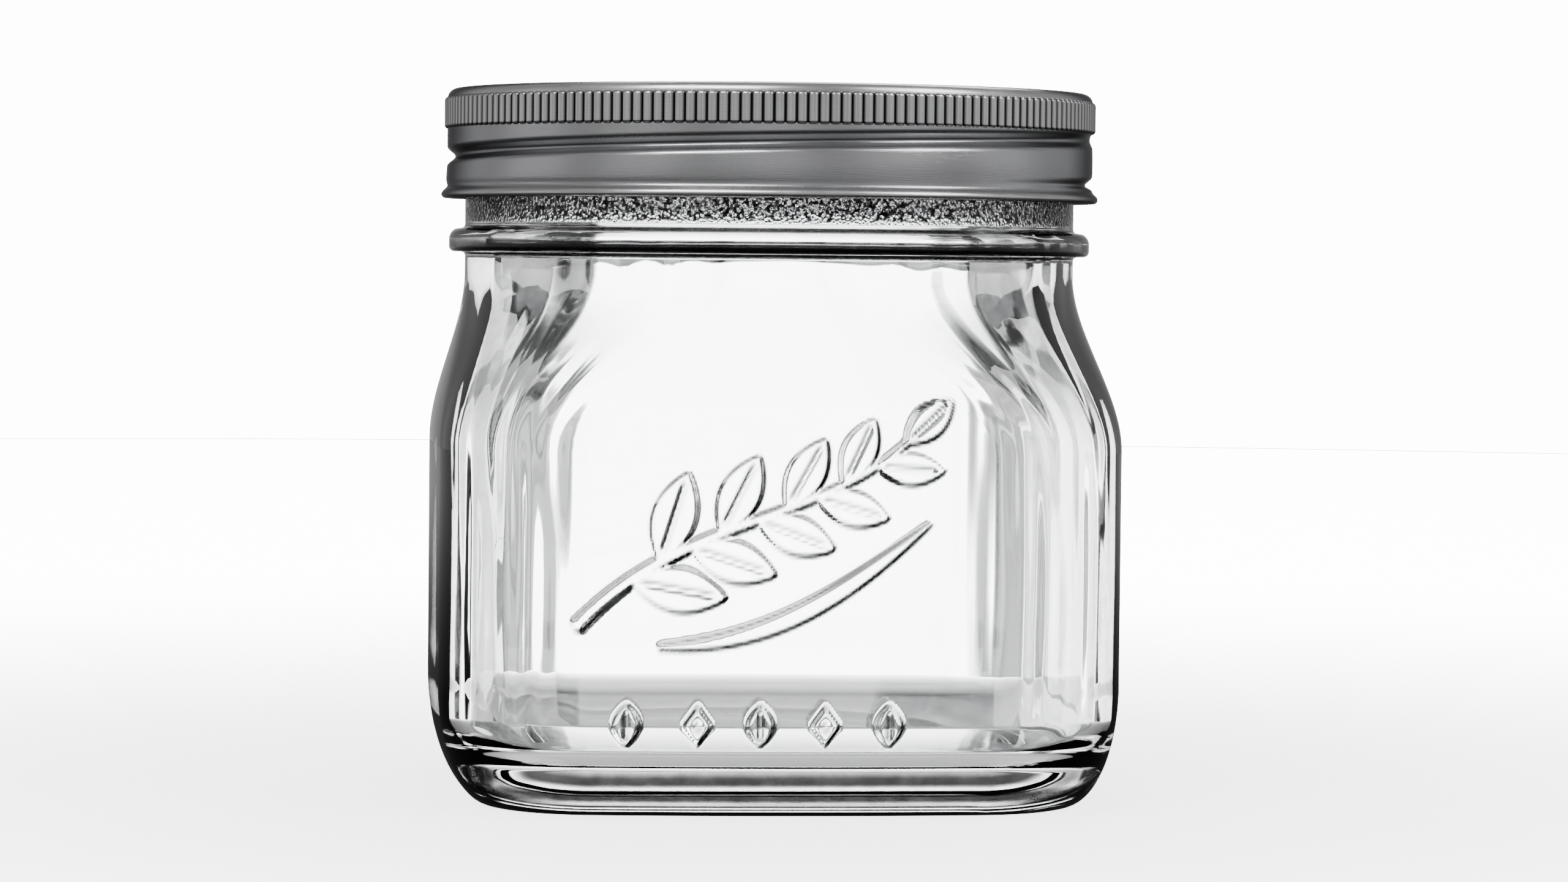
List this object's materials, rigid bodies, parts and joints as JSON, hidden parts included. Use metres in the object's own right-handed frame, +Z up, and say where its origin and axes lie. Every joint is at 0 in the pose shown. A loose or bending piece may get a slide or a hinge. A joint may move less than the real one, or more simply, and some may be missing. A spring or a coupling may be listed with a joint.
{
  "type": "canning jar with two-piece screw closure",
  "caption": "Squat rounded-square glass canning jar with a round threaded neck, a flat stamped lid with a sealing ring, and a knurled metal screw band.",
  "frame": {"origin": "centre of the jar's base, on the surface it stands on", "axes": "+Z up along the jar's axis; -Y is the embossed front of the body"},
  "size_m": [0.0932, 0.0932, 0.0955],
  "materials": {
    "clear_glass": "clear, fire-polished, with a pebbled strip on the neck",
    "lid_metal": "satin stamped tinplate",
    "seal_compound": "matt grey sealing compound",
    "band_metal": "satin rolled steel"
  },
  "bodies": {
    "jar": {"glass_jar": "clear_glass"},
    "lid": {"lid_disc": "lid_metal", "sealing_ring": "seal_compound"},
    "band": {"screw_band": "band_metal"}
  },
  "joints": [
    {"name": "lid_lift", "type": "slide", "parent": "jar", "child": "lid", "axis": [0, 0, 1], "range_m": [0, 0.0254]},
    {"name": "band_turn", "type": "hinge", "parent": "lid", "child": "band", "pos_m": [0, 0, 0.088], "axis": [0, 0, 1], "range_deg": [0, 1440]}
  ],
  "couplings": [
    {"joint": "lid_lift", "follows": "band_turn", "m_per_rad": 0.0010106}
  ]
}
